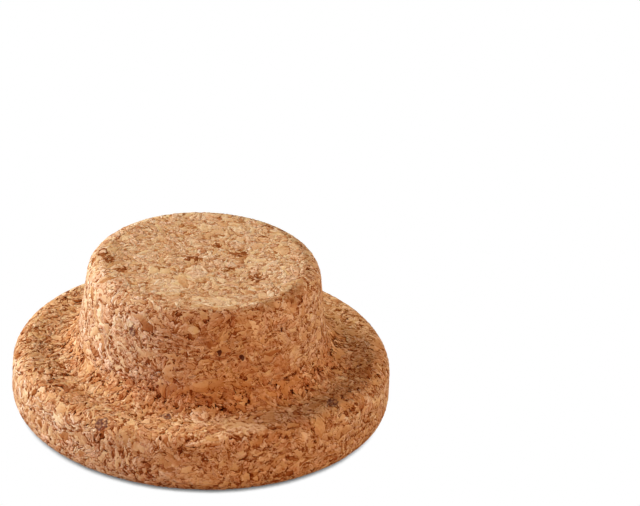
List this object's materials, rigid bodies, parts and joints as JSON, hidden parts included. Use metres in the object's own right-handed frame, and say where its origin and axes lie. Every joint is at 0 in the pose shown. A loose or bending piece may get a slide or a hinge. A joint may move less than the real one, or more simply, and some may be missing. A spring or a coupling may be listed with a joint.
{
  "type": "cork stopper",
  "caption": "Round agglomerated cork stopper: a broad flange with rounded edges and a tapered plug that closes the mouth of a jar or crock.",
  "frame": {"origin": "centre of the flange's outer face, which the stopper stands on", "axes": "+Z along the stopper's axis, from the flange towards the plug's end"},
  "size_m": [0.1, 0.1, 0.043],
  "materials": {
    "cork": "matt pressed cork granules, dry and unvarnished"
  },
  "bodies": {
    "root": {"stopper": "cork"}
  },
  "joints": []
}
